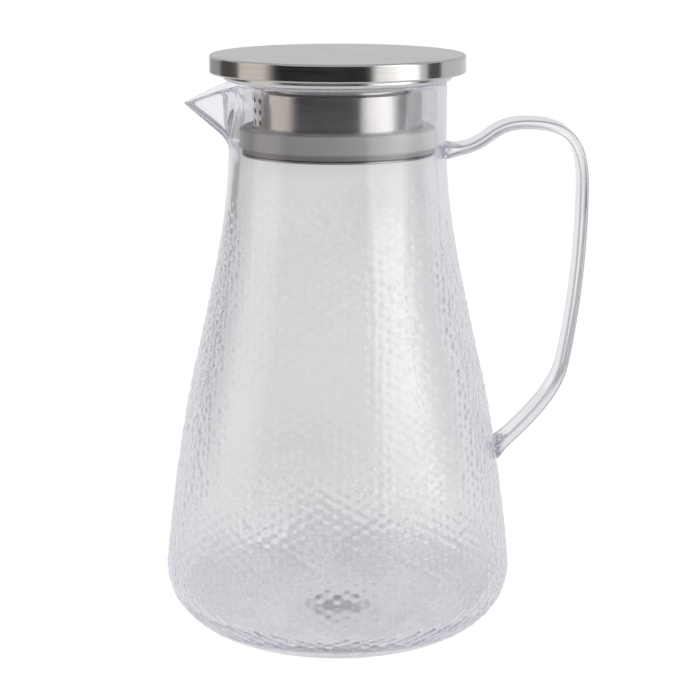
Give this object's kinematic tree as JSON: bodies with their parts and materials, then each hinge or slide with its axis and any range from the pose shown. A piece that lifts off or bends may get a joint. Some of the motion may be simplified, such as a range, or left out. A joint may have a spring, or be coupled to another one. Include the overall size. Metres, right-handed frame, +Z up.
{
  "type": "acrylic jug with lid",
  "caption": "Clear flask-shaped jug with a pulled beak spout, a bonded strap handle and a lift-out steel lid that carries a perforated strainer tube and a soft seal.",
  "frame": {"origin": "centre of the flat base, on the axis of the jug, at the level of the table", "axes": "+Z up along the axis of the jug, -X towards the spout, +X towards the handle"},
  "size_m": [0.1744, 0.1442, 0.24],
  "materials": {
    "acrylic_body": "clear, hammered outside",
    "acrylic_handle": "clear, polished",
    "cap_steel": "brushed",
    "plate_steel": "brushed",
    "tube_steel": "satin",
    "carrier_steel": "satin",
    "silicone": "frosted"
  },
  "bodies": {
    "jug": {"jug_body": "acrylic_body", "handle": "acrylic_handle"},
    "seal": {"seal": "silicone"},
    "lid": {"lid_cap": "cap_steel", "lid_underplate": "plate_steel", "strainer_tube": "tube_steel", "seal_carrier": "carrier_steel"}
  },
  "joints": [
    {"name": "lid_lift", "type": "slide", "parent": "jug", "child": "seal", "axis": [0, 0, 1], "range_m": [0, 0.06]},
    {"name": "lid_turn", "type": "hinge", "parent": "seal", "child": "lid", "pos_m": [0, 0, 0.215], "axis": [0, 0, 1], "continuous": true}
  ]
}
